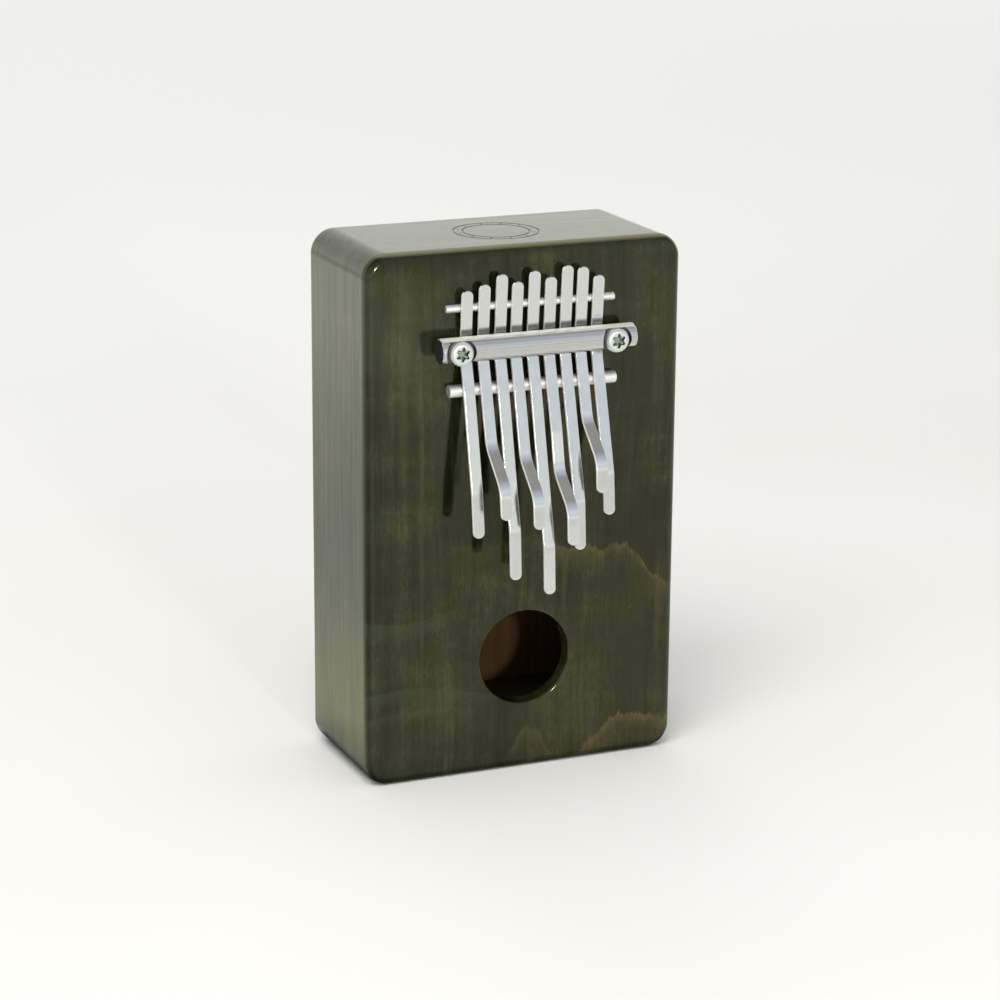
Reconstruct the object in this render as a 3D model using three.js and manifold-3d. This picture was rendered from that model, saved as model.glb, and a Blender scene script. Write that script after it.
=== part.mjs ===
// Nine-tine mbira: a hollow wooden box standing on its lower end, with steel
// tines held on its front by two bridge rods and a round clamping bar.
// Millimetres. +Z up, the playing face looks towards -Y, X = 0 is the middle
// of the box and the origin is the centre of its bottom face.
// Left (-X) and right (+X) are as seen by someone facing the playing face.
// Throughout, h is a height above the playing face, measured towards -Y.
import * as THREE from 'three';
import { mergeVertices } from 'three/addons/utils/BufferGeometryUtils.js';
import Module from 'manifold-3d';

const wasm = await Module();
wasm.setup();

// ---------------------------------------------------------------- dimensions
// box
const BOX_W = 106;
const BOX_D = 50;
const BOX_H = 170;
const CORNER_R = 7.8;          // rounded corners of the front view
const EDGE_R = 3;              // rounded front and back edges
const FRONT_T = 5;             // soundboard thickness
const BACK_T = 4;              // back board thickness
const SIDE_T = 13;             // side boards
const END_T = 13.5;            // top and bottom end boards
const FRONT_Y = -BOX_D / 2;    // playing face
const BACK_Y = BOX_D / 2;
const FRAME_FRONT_Y = FRONT_Y + FRONT_T;
const FRAME_BACK_Y = BACK_Y - BACK_T;
// sound hole
const HOLE = { r: 15.15, x: 0.6, z: 37.1, chamfer: 0.6, segments: 56 };
// block behind the soundboard that takes the clamp screws, z at its middle
const BLOCK = { width: 78, height: 34, thickness: 14, z: 138 };
// bridge rods, lying in shallow grooves of the soundboard; h and z of the axis
const FRONT_ROD = { r: 2.0, h: 1.8, z: 126.5, x0: -27.0, x1: 30.4 };
const REAR_ROD = { r: 1.3, h: 0.7, z: 151.95, x0: -27.2, x1: 29.4 };
const ROD_CHAMFER = 0.35;
const GROOVE_CLEAR = 0.03;     // radial clearance of the grooves
const GROOVE_END_CLEAR = 0.1;
// clamping bar, with flat seats milled at height seatH for the screw heads
const BAR = {
  r: 4, h: 6.2, z: 140.35, x0: -31.4, x1: 33.5, chamfer: 0.5,
  seatR: 4.85, seatH: 8.6, holeR: 2.2,
};
// pan-head screws
const SCREW_X = { screw_left: -25.5, screw_right: 26.45 };
const SCREW_Z = 139.9;         // a little below the bar's axis
const HEAD_R = 3.8;
const HEAD_H = 2.55;
const SCREW_LEN = 25;          // below the head
const NECK_R = 1.45;
const NECK_LEN = 10.8;
const NECK_TAPER = 0.5;        // length of the step from neck to thread
const THREAD_R = 2.0;
const POINT_R = 0.25;
const POINT_LEN = 4;
const SOCKET = { outerR: 2.15, innerR: 1.5, depth: 1.7, lobes: 6, points: 36 };
const SEAT_GAP = 0.05;         // between screw head and seat
const BOARD_HOLE_R = 2.2;
const BLOCK_HOLE_R = 2.1;
const SCREW_HOLE_SEGMENTS = 20;
// tines: flat strips of spring steel
const TINE_W = 3.6;
const TINE_T = 1.0;
const TINE_GAP = 0.3;          // between tail and tongue, along Z
const ROD_CREST_H = 4.65;      // tine middle line above the front rod
const UNDER_BAR_H = 1.58;      // tine middle line under the bar
const OVER_REAR_H = 2.62;      // tine middle line over the rear rod
const REAR_ROD_SLOPE = 0.09;   // rise per millimetre of Z on reaching the rear rod
const REAR_END_SLOPE = 0.08;   // the same from the rear rod to the rear end
const BEND_R = 2.6;            // governs the length of the forged bends
const BEND_STEPS = 4;
const MIN_BEND = 0.06;         // radians; gentler corners stay sharp
// x: position across the board; rear: Z of the rear end;
// slope: rise of the tail's middle line per millimetre going down, at the front rod;
// path: [z, h] of the tongue's middle line below the front rod, ending at the playing tip.
const TINES = [
  { x: -20.85, rear: 157.7, slope: 0.218, path: [[96.0, 11.40], [82.2, 13.10]] },
  { x: -15.15, rear: 159.3, slope: 0.266, path: [[109.8, 9.10], [99.2, 20.10], [89.5, 21.40]] },
  { x: -9.50, rear: 162.1, slope: 0.233, path: [[83.3, 14.70], [68.3, 15.70]] },
  { x: -4.20, rear: 159.4, slope: 0.250, path: [[105.3, 9.95], [95.3, 20.70], [85.5, 21.50]] },
  { x: 1.35, rear: 162.4, slope: 0.2405, path: [[77.8, 16.35], [62.9, 17.20]] },
  {
    x: 6.90, rear: 160.1, slope: 0.2607,
    path: [[112.5, 8.30], [100.0, 11.25], [90.7, 21.70], [79.5, 22.30]],
  },
  { x: 12.35, rear: 163.3, slope: 0.270, path: [[90.8, 14.30], [75.6, 15.40]] },
  { x: 17.60, rear: 162.5, slope: 0.274, path: [[115.0, 7.80], [104.3, 19.10], [94.5, 19.70]] },
  { x: 23.05, rear: 159.5, slope: 0.274, path: [[98.4, 12.35], [85.3, 13.55]] },
];
// how far cutters and untrimmed stock reach past the finished faces
const OVERCUT = 1;

const FINISHES = {
  darkWood: { color: 0x46463a, roughness: 0.28, metalness: 0 },
  rawWood: { color: 0x6b4a33, roughness: 0.7, metalness: 0 },
  rodSteel: { color: 0xcfd0d4, roughness: 0.32, metalness: 1 },
  barSteel: { color: 0xc9c7cc, roughness: 0.12, metalness: 1 },
  screwSteel: { color: 0xdfe3e2, roughness: 0.3, metalness: 1 },
  tineSteel: { color: 0xd2d4da, roughness: 0.3, metalness: 1 },
};

// ------------------------------------------------------------------- helpers
const WELD_TOLERANCE = 1e-4;
const solid = (geometry) => {
  // normals and uvs would keep vertices apart along seams
  geometry.deleteAttribute('normal');
  geometry.deleteAttribute('uv');
  const welded = mergeVertices(geometry, WELD_TOLERANCE);
  return new wasm.Manifold(new wasm.Mesh({
    numProp: 3,
    vertProperties: Float32Array.from(welded.attributes.position.array),
    triVerts: Uint32Array.from(welded.index.array),
  }));
};

const geometryOf = (manifold) => {
  const mesh = manifold.getMesh();
  const geometry = new THREE.BufferGeometry();
  const positions = Float32Array.from(mesh.vertProperties);
  geometry.setAttribute('position', new THREE.BufferAttribute(positions, 3));
  geometry.setIndex(new THREE.BufferAttribute(Uint32Array.from(mesh.triVerts), 1));
  geometry.computeVertexNormals();
  return geometry;
};

const addPiece = (parent, name, geometry, finish, position = [0, 0, 0]) => {
  const mesh = new THREE.Mesh(geometry, new THREE.MeshStandardMaterial(finish));
  mesh.name = name;
  mesh.position.set(...position);
  parent.add(mesh);
};

const X_AXIS = new THREE.Vector3(1, 0, 0);
const Y_AXIS = new THREE.Vector3(0, 1, 0);
const Z_AXIS = new THREE.Vector3(0, 0, 1);
// side views are drawn in (y, z) and extruded along +X
const SIDE_VIEW = new THREE.Matrix4().makeBasis(Y_AXIS, Z_AXIS, X_AXIS);
// front views are drawn in (x, z) and extruded along -Y
const FRONT_VIEW = new THREE.Matrix4().makeBasis(X_AXIS, Z_AXIS, Y_AXIS.clone().negate());

const extrude = (shape, options) =>
  new THREE.ExtrudeGeometry(shape, { bevelEnabled: false, ...options });

// box between [low, high] pairs on each axis
const box = (...ranges) => {
  const sizes = ranges.map(([low, high]) => high - low);
  const centre = ranges.map(([low, high]) => (low + high) / 2);
  return solid(new THREE.BoxGeometry(...sizes).translate(...centre));
};

// cylinder along Y from y0 to y1; r1 differs from r0 for a cone
const cylinderY = ({ r0, r1 = r0, y0, y1, x, z, segments }) => solid(
  new THREE.CylinderGeometry(r1, r0, y1 - y0, segments).translate(x, (y0 + y1) / 2, z));

// round bar along X, centred on its origin, with chamfered ends
const roundBar = ({ r, x0, x1 }, chamfer, segments) => {
  const half = (x1 - x0) / 2;
  const profile = [
    [0, -half], [r - chamfer, -half], [r, -half + chamfer],
    [r, half - chamfer], [r - chamfer, half], [0, half],
  ].map((point) => new THREE.Vector2(...point));
  return new THREE.LatheGeometry(profile, segments).rotateZ(-Math.PI / 2);
};

const mbira = new THREE.Group();

// ---------------------------------------------------------------------- case
const caseGroup = new THREE.Group();
mbira.add(caseGroup);

const faceOutline = () => {
  const half = BOX_W / 2;
  const r = CORNER_R;
  const shape = new THREE.Shape();
  shape.moveTo(-half + r, 0);
  shape.lineTo(half - r, 0);
  shape.absarc(half - r, r, r, -Math.PI / 2, 0, false);
  shape.lineTo(half, BOX_H - r);
  shape.absarc(half - r, BOX_H - r, r, 0, Math.PI / 2, false);
  shape.lineTo(-half + r, BOX_H);
  shape.absarc(-half + r, BOX_H - r, r, Math.PI / 2, Math.PI, false);
  shape.lineTo(-half, r);
  shape.absarc(-half + r, r, r, Math.PI, 1.5 * Math.PI, false);
  return shape;
};

// full outer form of the box, from which all its boards are cut
const outerForm = solid(extrude(faceOutline(), {
  depth: BOX_D - 2 * EDGE_R,
  bevelEnabled: true,
  bevelThickness: EDGE_R,
  bevelSize: EDGE_R,
  bevelOffset: -EDGE_R,
  bevelSegments: 5,
  curveSegments: 8,
}).applyMatrix4(FRONT_VIEW).translate(0, BACK_Y - EDGE_R, 0));

const REACH_X = BOX_W / 2 + OVERCUT;
const INNER_X = BOX_W / 2 - SIDE_T;
const ALL_X = [-REACH_X, REACH_X];
const ALL_Z = [-OVERCUT, BOX_H + OVERCUT];
const FRAME_Y = [FRAME_FRONT_Y, FRAME_BACK_Y];

const drillScrewHoles = (body, r, y0, y1, z = SCREW_Z) => {
  const holes = Object.values(SCREW_X).map((x) =>
    cylinderY({ r0: r, y0, y1, x, z, segments: SCREW_HOLE_SEGMENTS }));
  return holes.reduce((drilled, hole) => drilled.subtract(hole), body);
};

const rodGroove = ({ r, h, z, x0, x1 }) => {
  const length = x1 - x0 + 2 * GROOVE_END_CLEAR;
  return solid(new THREE.CylinderGeometry(r + GROOVE_CLEAR, r + GROOVE_CLEAR, length, 28)
    .rotateZ(Math.PI / 2)
    .translate((x0 + x1) / 2, FRONT_Y - h, z));
};

// soundboard: sound hole with a chamfered rim, two rod grooves, two screw holes
const soundboard = () => {
  const { r, x, z, chamfer, segments } = HOLE;
  const y0 = FRONT_Y - OVERCUT;
  const y1 = FRAME_FRONT_Y + OVERCUT;
  const hole = cylinderY({ r0: r, y0, y1, x, z, segments });
  // 45 degree cone, narrowing inwards
  const rim = cylinderY({
    r0: r + chamfer + OVERCUT, r1: r - OVERCUT,
    y0, y1: FRONT_Y + chamfer + OVERCUT, x, z, segments,
  });
  const board = outerForm.intersect(box(ALL_X, [y0, FRAME_FRONT_Y], ALL_Z))
    .subtract(hole)
    .subtract(rim)
    .subtract(rodGroove(FRONT_ROD))
    .subtract(rodGroove(REAR_ROD));
  return drillScrewHoles(board, BOARD_HOLE_R, y0, y1);
};
addPiece(caseGroup, 'soundboard', geometryOf(soundboard()), FINISHES.darkWood);

// remaining boards: name, then X, Y and Z ranges of their share of the outer form
const BOARDS = [
  ['back_board', ALL_X, [FRAME_BACK_Y, BACK_Y + OVERCUT], ALL_Z],
  ['left_side', [-REACH_X, -INNER_X], FRAME_Y, ALL_Z],
  ['right_side', [INNER_X, REACH_X], FRAME_Y, ALL_Z],
  ['top_end', [-INNER_X, INNER_X], FRAME_Y, [BOX_H - END_T, BOX_H + OVERCUT]],
  ['bottom_end', [-INNER_X, INNER_X], FRAME_Y, [-OVERCUT, END_T]],
];
for (const [name, ...ranges] of BOARDS) {
  addPiece(caseGroup, name, geometryOf(outerForm.intersect(box(...ranges))), FINISHES.darkWood);
}

// block on the back of the soundboard
const bridgeBlock = () => {
  const backY = FRAME_FRONT_Y + BLOCK.thickness;
  const body = box(
    [-BLOCK.width / 2, BLOCK.width / 2],
    [FRAME_FRONT_Y, backY],
    [BLOCK.z - BLOCK.height / 2, BLOCK.z + BLOCK.height / 2],
  );
  return drillScrewHoles(body, BLOCK_HOLE_R, FRAME_FRONT_Y - OVERCUT, backY + OVERCUT);
};
addPiece(caseGroup, 'bridge_block', geometryOf(bridgeBlock()), FINISHES.rawWood);

for (const [name, rod] of [['front_rod', FRONT_ROD], ['rear_rod', REAR_ROD]]) {
  const position = [(rod.x0 + rod.x1) / 2, FRONT_Y - rod.h, rod.z];
  addPiece(caseGroup, name, roundBar(rod, ROD_CHAMFER, 24), FINISHES.rodSteel, position);
}

// --------------------------------------------------------------------- clamp
// the group's origin lies on the playing face, level with the bar's axis
const clamp = new THREE.Group();
clamp.position.set(0, FRONT_Y, BAR.z);
mbira.add(clamp);
const SCREW_LOCAL_Z = SCREW_Z - BAR.z;

const clampBar = () => {
  const frontY = -BAR.h - BAR.r - OVERCUT;
  const backY = -BAR.h + BAR.r + OVERCUT;
  let bar = solid(roundBar(BAR, BAR.chamfer, 40).translate((BAR.x0 + BAR.x1) / 2, -BAR.h, 0));
  for (const x of Object.values(SCREW_X)) {
    bar = bar.subtract(cylinderY({
      r0: BAR.seatR, y0: frontY, y1: -BAR.seatH, x, z: SCREW_LOCAL_Z, segments: 40,
    }));
  }
  return drillScrewHoles(bar, BAR.holeR, frontY, backY, SCREW_LOCAL_Z);
};
addPiece(clamp, 'clamp_bar', geometryOf(clampBar()), FINISHES.barSteel);

// [radius, height] from the point up to the top of the head; 0 is under the head
const SCREW_PROFILE = [
  [0, -SCREW_LEN], [POINT_R, -SCREW_LEN], [THREAD_R, -SCREW_LEN + POINT_LEN],
  [THREAD_R, -NECK_LEN], [NECK_R, -NECK_LEN + NECK_TAPER], [NECK_R, 0],
  [HEAD_R - 0.15, 0], [HEAD_R, 0.15], [HEAD_R, 0.75], [HEAD_R - 0.25, 1.35],
  [HEAD_R - 0.8, 1.95], [HEAD_R - 1.5, 2.35], [HEAD_R - 2.2, HEAD_H], [0, HEAD_H],
];

// six-lobe outline, a cosine wave between the inner and outer radius
const socketOutline = () => {
  const { outerR, innerR, lobes, points } = SOCKET;
  return new THREE.Shape(Array.from({ length: points }, (_, i) => {
    const angle = (i / points) * 2 * Math.PI;
    const r = (outerR + innerR) / 2 - ((outerR - innerR) / 2) * Math.cos(lobes * angle);
    return new THREE.Vector2(r * Math.cos(angle), r * Math.sin(angle));
  }));
};

const screwGeometry = () => {
  const profile = SCREW_PROFILE.map((point) => new THREE.Vector2(...point));
  const socket = solid(extrude(socketOutline(), { depth: SOCKET.depth + OVERCUT })
    .rotateX(-Math.PI / 2)
    .translate(0, HEAD_H - SOCKET.depth, 0));
  const screw = solid(new THREE.LatheGeometry(profile, 28)).subtract(socket);
  // the head, turned at +Y, is made to face -Y
  return geometryOf(screw).rotateZ(Math.PI);
};
for (const [name, x] of Object.entries(SCREW_X)) {
  const position = [x, -BAR.seatH - SEAT_GAP, SCREW_LOCAL_Z];
  addPiece(clamp, name, screwGeometry(), FINISHES.screwSteel, position);
}

// --------------------------------------------------------------------- tines
// [z, h] points of a cubic curve between two stations { z, h, slope }
const hermite = (start, end, steps) => {
  const span = end.z - start.z;
  return Array.from({ length: steps + 1 }, (_, i) => {
    const t = i / steps;
    const h = (2 * t ** 3 - 3 * t ** 2 + 1) * start.h
      + (t ** 3 - 2 * t ** 2 + t) * span * start.slope
      + (-2 * t ** 3 + 3 * t ** 2) * end.h
      + (t ** 3 - t ** 2) * span * end.slope;
    return [start.z + span * t, h];
  });
};

// point list with every distinct inner corner replaced by a short curve
const withBends = (points) => {
  const corners = points.map((point) => new THREE.Vector2(...point));
  return points.flatMap((point, i) => {
    if (i === 0 || i === points.length - 1) return [point];
    const corner = corners[i];
    const back = corners[i - 1].clone().sub(corner);
    const ahead = corners[i + 1].clone().sub(corner);
    const maxCut = 0.45 * Math.min(back.length(), ahead.length());
    back.normalize();
    ahead.normalize();
    const turn = Math.PI - Math.acos(THREE.MathUtils.clamp(back.dot(ahead), -1, 1));
    if (turn < MIN_BEND) return [point];
    const cut = Math.min(BEND_R * Math.tan(turn / 2), maxCut);
    const curve = new THREE.QuadraticBezierCurve(
      corner.clone().addScaledVector(back, cut),
      corner,
      corner.clone().addScaledVector(ahead, cut),
    );
    return curve.getPoints(BEND_STEPS).map(({ x, y }) => [x, y]);
  });
};

// strip of even thickness around a [z, h] middle line, mitred at its corners
const strip = (line) => {
  const points = line.map(([z, h]) => new THREE.Vector2(-h, z));
  const directions = points.slice(1).map((point, i) => point.clone().sub(points[i]).normalize());
  const left = [];
  const right = [];
  points.forEach((point, i) => {
    const incoming = directions[Math.max(i - 1, 0)];
    const outgoing = directions[Math.min(i, directions.length - 1)];
    const along = incoming.clone().add(outgoing).normalize();
    const normal = new THREE.Vector2(-along.y, along.x);
    const offset = TINE_T / 2 / along.dot(incoming);
    left.push(point.clone().addScaledVector(normal, offset));
    right.unshift(point.clone().addScaledVector(normal, -offset));
  });
  return solid(extrude(new THREE.Shape([...left, ...right]), { depth: TINE_W })
    .applyMatrix4(SIDE_VIEW)
    .translate(-TINE_W / 2, 0, 0));
};

// trimming block with the tine's front view from z0 to z1, one end rounded
const TRIM_DEPTH = 40;
const TRIM_BACK = 5;           // reach behind the playing face
const trimBlock = (z0, z1, roundEnd) => {
  const r = TINE_W / 2;
  const shape = new THREE.Shape();
  if (roundEnd === 'low') {
    shape.moveTo(-r, z0 + r);
    shape.absarc(0, z0 + r, r, Math.PI, 2 * Math.PI, false);
    shape.lineTo(r, z1);
    shape.lineTo(-r, z1);
  } else {
    shape.moveTo(-r, z0);
    shape.lineTo(r, z0);
    shape.lineTo(r, z1 - r);
    shape.absarc(0, z1 - r, r, 0, Math.PI, false);
  }
  shape.closePath();
  return solid(extrude(shape, { depth: TRIM_DEPTH, curveSegments: 7 })
    .applyMatrix4(FRONT_VIEW)
    .translate(0, TRIM_BACK, 0));
};

// clamped length: from the front rod up under the bar and over the rear rod
const tineTail = ({ slope, rear }) => {
  const crest = { z: FRONT_ROD.z, h: ROD_CREST_H, slope: -slope };
  const underBar = { z: BAR.z, h: UNDER_BAR_H, slope: 0 };
  const overRear = { z: REAR_ROD.z, h: OVER_REAR_H, slope: REAR_ROD_SLOPE };
  const stockEnd = rear + OVERCUT;
  const line = [
    ...hermite(crest, underBar, 7),
    ...hermite(underBar, overRear, 6).slice(1),
    [stockEnd, OVER_REAR_H + REAR_END_SLOPE * (stockEnd - REAR_ROD.z)],
  ];
  return strip(line).intersect(trimBlock(FRONT_ROD.z + TINE_GAP / 2, rear, 'high'));
};

// free length: from the front rod down to the playing tip
const tineTongue = ({ path }) => {
  const [[beforeZ, beforeH], [tipZ, tipH]] = path.slice(-2);
  const tipSlope = (tipH - beforeH) / (tipZ - beforeZ);
  const line = withBends([
    [FRONT_ROD.z, ROD_CREST_H],
    ...path.slice(0, -1),
    [tipZ - OVERCUT, tipH - tipSlope * OVERCUT],
  ]);
  return strip(line).intersect(trimBlock(tipZ, FRONT_ROD.z - TINE_GAP / 2, 'low'));
};

// tail and tongue are parted by a narrow gap over the crest of the front rod
TINES.forEach((tine, i) => {
  const unit = new THREE.Group();
  unit.position.set(tine.x, FRONT_Y, 0);
  mbira.add(unit);
  const name = `tine_${i + 1}`;
  addPiece(unit, `${name}_tail`, geometryOf(tineTail(tine)), FINISHES.tineSteel);
  addPiece(unit, `${name}_tongue`, geometryOf(tineTongue(tine)), FINISHES.tineSteel);
});

export default mbira;
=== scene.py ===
# A nine-tine thumb piano standing upright on its bottom end. The soundboard faces -Y,
# the tines' free tongues point down (-Z), and left is -X. Shapes are drawn in millimetres.
import bpy
import bmesh
import math
from functools import reduce
import numpy as np
from mathutils import Matrix, Vector


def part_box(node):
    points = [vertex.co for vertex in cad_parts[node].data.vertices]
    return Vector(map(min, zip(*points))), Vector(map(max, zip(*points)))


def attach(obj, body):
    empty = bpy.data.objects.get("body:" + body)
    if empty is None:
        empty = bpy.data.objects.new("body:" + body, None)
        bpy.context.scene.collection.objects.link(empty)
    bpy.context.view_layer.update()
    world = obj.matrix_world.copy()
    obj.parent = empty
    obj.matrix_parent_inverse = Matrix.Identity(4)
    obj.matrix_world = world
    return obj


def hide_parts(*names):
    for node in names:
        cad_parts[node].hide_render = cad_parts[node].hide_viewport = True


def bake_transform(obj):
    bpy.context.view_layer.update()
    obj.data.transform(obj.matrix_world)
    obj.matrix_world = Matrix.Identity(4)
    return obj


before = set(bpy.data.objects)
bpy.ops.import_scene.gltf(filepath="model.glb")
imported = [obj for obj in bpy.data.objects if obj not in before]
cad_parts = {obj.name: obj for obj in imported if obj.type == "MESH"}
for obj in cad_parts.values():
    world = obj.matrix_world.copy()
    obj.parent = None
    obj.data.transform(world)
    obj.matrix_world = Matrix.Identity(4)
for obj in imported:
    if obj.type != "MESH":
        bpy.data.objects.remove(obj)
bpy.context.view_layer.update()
scene = bpy.context.scene
MM = 0.001


def box_mm(node):
    lo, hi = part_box(node)
    return [c / MM for c in lo], [c / MM for c in hi]


# ------------------------------------------------------------ sizes of the box
(X0, Y0, Z0), (X1, FRONT_JOINT_Y, Z1) = box_mm("soundboard")
(_, BACK_JOINT_Y, _), (_, Y1, _) = box_mm("back_board")
INNER_X = box_mm("right_side")[0][0]
INNER_Z0 = box_mm("bottom_end")[1][2]
INNER_Z1 = box_mm("top_end")[0][2]
CORNER_R = 7.8   # corners seen from the front
EDGE_R = 3.0     # rounding of the front and back edges

HOLE_X, HOLE_Z, HOLE_R = 0.6, 37.1, 15.15
HOLE_LIP = 0.9   # rounding of the sound hole's rim


# ------------------------------------------------------------------ mesh tools
def link_mesh(name, bm):
    """Mesh object from a bmesh drawn in millimetres."""
    bmesh.ops.scale(bm, vec=(MM, MM, MM), verts=bm.verts)
    mesh = bpy.data.meshes.new(name)
    bm.to_mesh(mesh)
    bm.free()
    ob = bpy.data.objects.new(name, mesh)
    scene.collection.objects.link(ob)
    return ob


def add_object(name, bm, material):
    ob = link_mesh(name, bm)
    ob.data.materials.append(material)
    return ob


def cutter(bm):
    return link_mesh("tmp", bm)


def shade_smooth(ob, sharp=35, weighted=True):
    """Smooth shading, sharp above the given angle in degrees."""
    mesh = ob.data
    mesh.polygons.foreach_set("use_smooth", [True] * len(mesh.polygons))
    mesh.set_sharp_from_angle(angle=math.radians(sharp))
    if weighted:
        mod = ob.modifiers.new("normals", "WEIGHTED_NORMAL")
        mod.mode = "FACE_AREA"
        mod.weight = 80
        mod.keep_sharp = True


def apply_modifiers(ob):
    bpy.context.view_layer.update()
    depsgraph = bpy.context.evaluated_depsgraph_get()
    mesh = bpy.data.meshes.new_from_object(ob.evaluated_get(depsgraph), depsgraph=depsgraph)
    old = ob.data
    ob.modifiers.clear()
    ob.data = mesh
    bpy.data.meshes.remove(old)


def cut(ob, cutters):
    """Exact boolean difference with each cutter in turn; the cutters are then removed."""
    for tool in cutters:
        mod = ob.modifiers.new("cut", "BOOLEAN")
        mod.operation = "DIFFERENCE"
        mod.solver = "EXACT"
        mod.object = tool
        apply_modifiers(ob)
    for tool in cutters:
        mesh = tool.data
        bpy.data.objects.remove(tool)
        bpy.data.meshes.remove(mesh)


def skin(rings):
    """Skin a list of equally long point rings. A ring of one point is a pole."""
    bm = bmesh.new()
    made = [[bm.verts.new(p) for p in ring] for ring in rings]
    for a, b in zip(made, made[1:]):
        n = max(len(a), len(b))
        for i in range(n):
            j = (i + 1) % n
            if len(a) == 1:
                bm.faces.new((a[0], b[j], b[i]))
            elif len(b) == 1:
                bm.faces.new((a[i], a[j], b[0]))
            else:
                bm.faces.new((a[i], a[j], b[j], b[i]))
    if len(made[0]) > 1:
        bm.faces.new(list(reversed(made[0])))
    if len(made[-1]) > 1:
        bm.faces.new(made[-1])
    bmesh.ops.recalc_face_normals(bm, faces=bm.faces)
    return bm


def turned_rings(profile, segments, axis, centre):
    """Rings of a profile [(along, radius)] turned about the axis 'X' or 'Y'."""
    cx, cy, cz = centre
    rings = []
    for along, radius in profile:
        if radius <= 1e-9:
            offsets = [(0.0, 0.0)]
        else:
            turns = [2 * math.pi * i / segments for i in range(segments)]
            offsets = [(radius * math.cos(t), radius * math.sin(t)) for t in turns]
        if axis == "X":
            rings.append([(cx + along, cy + u, cz + v) for u, v in offsets])
        else:
            rings.append([(cx + u, cy + along, cz + v) for u, v in offsets])
    return rings


def lathe(profile, segments, axis, centre):
    return skin(turned_rings(profile, segments, axis, centre))


def bore(x, z, radius, y_from, y_to, segments):
    """Cylindrical cutter along Y."""
    return cutter(lathe([(y_from, radius), (y_to, radius)], segments, "Y", (x, 0, z)))


def arc(cx, cy, radius, start, steps):
    """Points of a quarter circle that starts at the given angle in degrees."""
    a0, a1 = math.radians(start), math.radians(start + 90)
    angles = [a0 + (a1 - a0) * i / steps for i in range(steps + 1)]
    return [(cx + radius * math.cos(a), cy + radius * math.sin(a)) for a in angles]


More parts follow.
